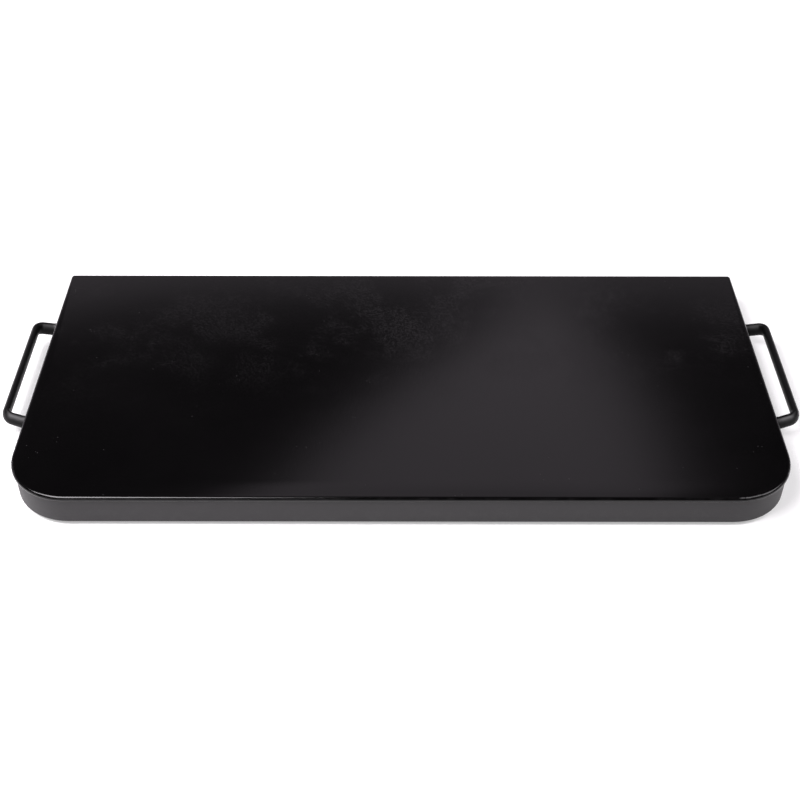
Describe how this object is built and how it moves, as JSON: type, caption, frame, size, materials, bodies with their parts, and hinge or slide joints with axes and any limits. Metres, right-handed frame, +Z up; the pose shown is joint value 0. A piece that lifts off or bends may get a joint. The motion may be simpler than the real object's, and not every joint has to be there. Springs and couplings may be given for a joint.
{
  "type": "flat top griddle",
  "caption": "Flat black steel griddle plate with rounded front corners on a bent skirt, with a bar handle at each side and screw feet underneath.",
  "frame": {"origin": "on the floor, under the middle of the plate, with the feet wound fully in", "axes": "+X to the right seen from the rounded front corners' side, +Y to the back, +Z up"},
  "size_m": [0.822, 0.362, 0.0383],
  "materials": {
    "cooking_surface": "satin",
    "black_coat": "satin",
    "handle_coat": "satin",
    "zinc": "satin",
    "foot_cup": "satin",
    "foot_rubber": "matt"
  },
  "bodies": {
    "griddle": {"griddle_plate": "cooking_surface", "skirt_band": "black_coat", "rear_skirt": "black_coat", "rib_left": "black_coat", "rib_centre": "black_coat", "rib_right": "black_coat", "handle_left": "handle_coat", "handle_right": "handle_coat", "handle_backing_left": "black_coat", "handle_backing_right": "black_coat", "handle_washers": "zinc", "handle_screws": "zinc", "foot_jam_nuts": "zinc", "foot_boss_front_left": "black_coat", "foot_boss_front_right": "black_coat", "foot_boss_rear_left": "black_coat", "foot_boss_rear_right": "black_coat"},
    "foot_front_left": {"foot_cup_front_left": "foot_cup", "foot_sole_front_left": "foot_rubber"},
    "stud_front_left": {"foot_stud_front_left": "zinc"},
    "foot_front_right": {"foot_cup_front_right": "foot_cup", "foot_sole_front_right": "foot_rubber"},
    "stud_front_right": {"foot_stud_front_right": "zinc"},
    "foot_rear_left": {"foot_cup_rear_left": "foot_cup", "foot_sole_rear_left": "foot_rubber"},
    "stud_rear_left": {"foot_stud_rear_left": "zinc"},
    "foot_rear_right": {"foot_cup_rear_right": "foot_cup", "foot_sole_rear_right": "foot_rubber"},
    "stud_rear_right": {"foot_stud_rear_right": "zinc"}
  },
  "joints": [
    {"name": "foot_front_left_travel", "type": "slide", "parent": "griddle", "child": "foot_front_left", "axis": [0, 0, -1], "range_m": [0, 0.008]},
    {"name": "stud_front_left_turn", "type": "hinge", "parent": "foot_front_left", "child": "stud_front_left", "pos_m": [-0.331, -0.131, 0.02], "axis": [0, 0, -1], "range_deg": [0, 2304]},
    {"name": "foot_front_right_travel", "type": "slide", "parent": "griddle", "child": "foot_front_right", "axis": [0, 0, -1], "range_m": [0, 0.008]},
    {"name": "stud_front_right_turn", "type": "hinge", "parent": "foot_front_right", "child": "stud_front_right", "pos_m": [0.331, -0.131, 0.02], "axis": [0, 0, -1], "range_deg": [0, 2304]},
    {"name": "foot_rear_left_travel", "type": "slide", "parent": "griddle", "child": "foot_rear_left", "axis": [0, 0, -1], "range_m": [0, 0.008]},
    {"name": "stud_rear_left_turn", "type": "hinge", "parent": "foot_rear_left", "child": "stud_rear_left", "pos_m": [-0.331, 0.131, 0.02], "axis": [0, 0, -1], "range_deg": [0, 2304]},
    {"name": "foot_rear_right_travel", "type": "slide", "parent": "griddle", "child": "foot_rear_right", "axis": [0, 0, -1], "range_m": [0, 0.008]},
    {"name": "stud_rear_right_turn", "type": "hinge", "parent": "foot_rear_right", "child": "stud_rear_right", "pos_m": [0.331, 0.131, 0.02], "axis": [0, 0, -1], "range_deg": [0, 2304]}
  ],
  "couplings": [
    {"joint": "stud_front_left_turn", "follows": "foot_front_left_travel", "rad_per_m": 5026.5},
    {"joint": "stud_front_right_turn", "follows": "foot_front_right_travel", "rad_per_m": 5026.5},
    {"joint": "stud_rear_left_turn", "follows": "foot_rear_left_travel", "rad_per_m": 5026.5},
    {"joint": "stud_rear_right_turn", "follows": "foot_rear_right_travel", "rad_per_m": 5026.5}
  ]
}
